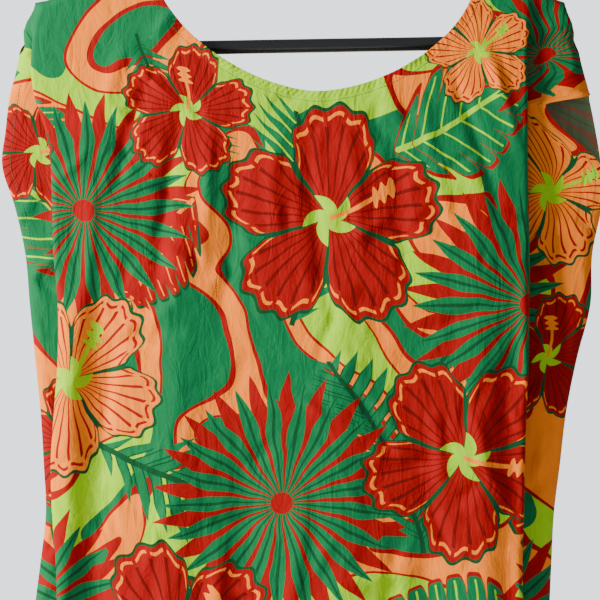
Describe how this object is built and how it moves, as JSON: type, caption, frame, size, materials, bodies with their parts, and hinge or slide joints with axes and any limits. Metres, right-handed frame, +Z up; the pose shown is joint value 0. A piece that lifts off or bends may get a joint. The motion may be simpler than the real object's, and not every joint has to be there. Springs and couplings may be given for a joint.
{
  "type": "printed pullover blouse on a coat hanger",
  "caption": "Boxy short-sleeved pullover blouse with a wide scoop neck, in a tropical print, hanging from a black coat hanger with a trouser bar and wire hook.",
  "frame": {"origin": "the top inside of the hanger's hook, where a rail carries it", "axes": "+X to the right of someone facing the blouse's front, +Y from the front to the back, +Z up"},
  "size_m": [0.5582, 0.0645, 0.8279],
  "materials": {
    "printed_cotton": "matt plain-woven cotton with an all-over tropical print in green, red, lime and apricot",
    "black_lacquered_wood": "satin black lacquer",
    "black_wire": "semi-gloss black coating"
  },
  "bodies": {
    "root": {"front": "printed_cotton", "back": "printed_cotton", "neck_facing": "printed_cotton", "hanger_arms": "black_lacquered_wood", "hanger_bar": "black_lacquered_wood", "hanger_hook": "black_wire"}
  },
  "joints": []
}
